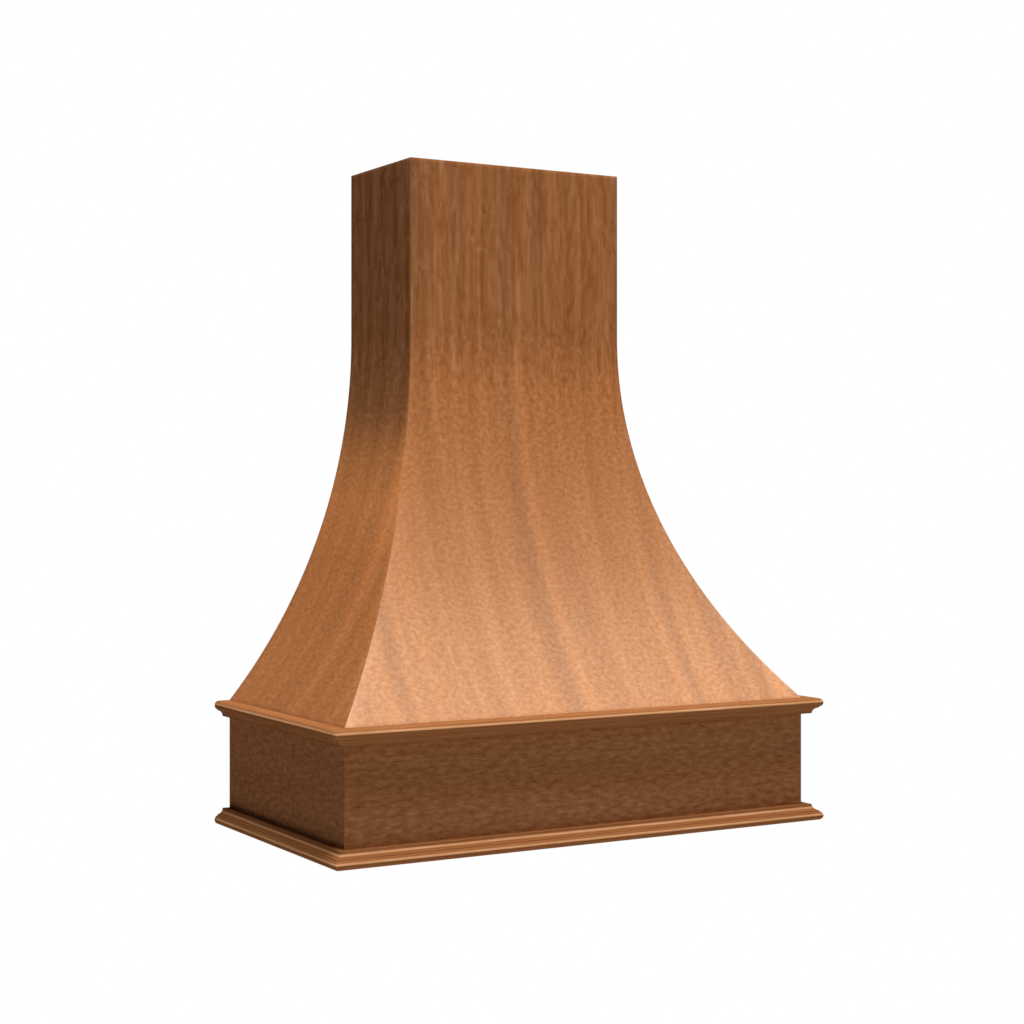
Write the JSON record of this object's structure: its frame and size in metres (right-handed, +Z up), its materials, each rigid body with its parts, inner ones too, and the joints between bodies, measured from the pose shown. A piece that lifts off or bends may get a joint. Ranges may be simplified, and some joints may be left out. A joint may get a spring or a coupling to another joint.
{
  "type": "range hood cover",
  "caption": "Wooden wall range hood cover: square chimney flaring in a concave sweep to a deep apron with mitred mouldings, hollow for a ventilator insert and duct.",
  "frame": {"origin": "middle of the wall face, at the bottom edge of the hood", "axes": "+X to the right seen from the room, -Y to the front, +Y into the wall, +Z up"},
  "size_m": [0.9716, 0.5112, 1.1811],
  "materials": {
    "skin_veneer": "ribbon-stripe mahogany veneer, grain upright, satin clear lacquer",
    "apron_veneer": "mahogany veneer, grain level, satin clear lacquer",
    "moulding_wood": "solid mahogany, satin clear lacquer",
    "plywood": "birch plywood, bare",
    "softwood": "planed softwood, bare",
    "beech": "beech tenon stock, bare",
    "screw_steel": "zinc-plated steel"
  },
  "bodies": {
    "root": {"apron_mitre_splines": "beech", "back_apron_rail": "plywood", "back_ledger": "softwood", "back_post_left": "softwood", "back_post_right": "softwood", "back_rib_left": "plywood", "back_rib_right": "plywood", "base_frame_back": "plywood", "base_frame_front": "plywood", "base_frame_left": "plywood", "base_frame_right": "plywood", "cleat_screws": "screw_steel", "corner_block_left": "softwood", "corner_block_right": "softwood", "front_apron_board": "apron_veneer", "front_jack_rib_left": "plywood", "front_jack_rib_right": "plywood", "front_ledger": "softwood", "front_post_left": "softwood", "front_post_right": "softwood", "front_rib_centre": "plywood", "front_rib_left": "plywood", "front_rib_right": "plywood", "front_skin": "skin_veneer", "hanging_rail": "plywood", "hanging_rail_screws": "screw_steel", "hip_rib_left": "plywood", "hip_rib_right": "plywood", "hood_cleat": "softwood", "insert_mounting_panel": "plywood", "left_apron_board": "apron_veneer", "left_ledger": "softwood", "left_skin": "skin_veneer", "lower_front_moulding": "moulding_wood", "lower_left_moulding": "moulding_wood", "lower_right_moulding": "moulding_wood", "panel_screws": "screw_steel", "rib_tenons": "beech", "right_apron_board": "apron_veneer", "right_ledger": "softwood", "right_skin": "skin_veneer", "side_jack_rib_left": "plywood", "side_jack_rib_right": "plywood", "side_rib_left": "plywood", "side_rib_right": "plywood", "top_frame_back": "plywood", "top_frame_front": "plywood", "top_frame_left": "plywood", "top_frame_right": "plywood", "upper_front_moulding": "moulding_wood", "upper_left_moulding": "moulding_wood", "upper_right_moulding": "moulding_wood", "waist_frame_back": "plywood", "waist_frame_front": "plywood", "waist_frame_left": "plywood", "waist_frame_right": "plywood", "wall_cleat": "softwood"}
  },
  "joints": []
}
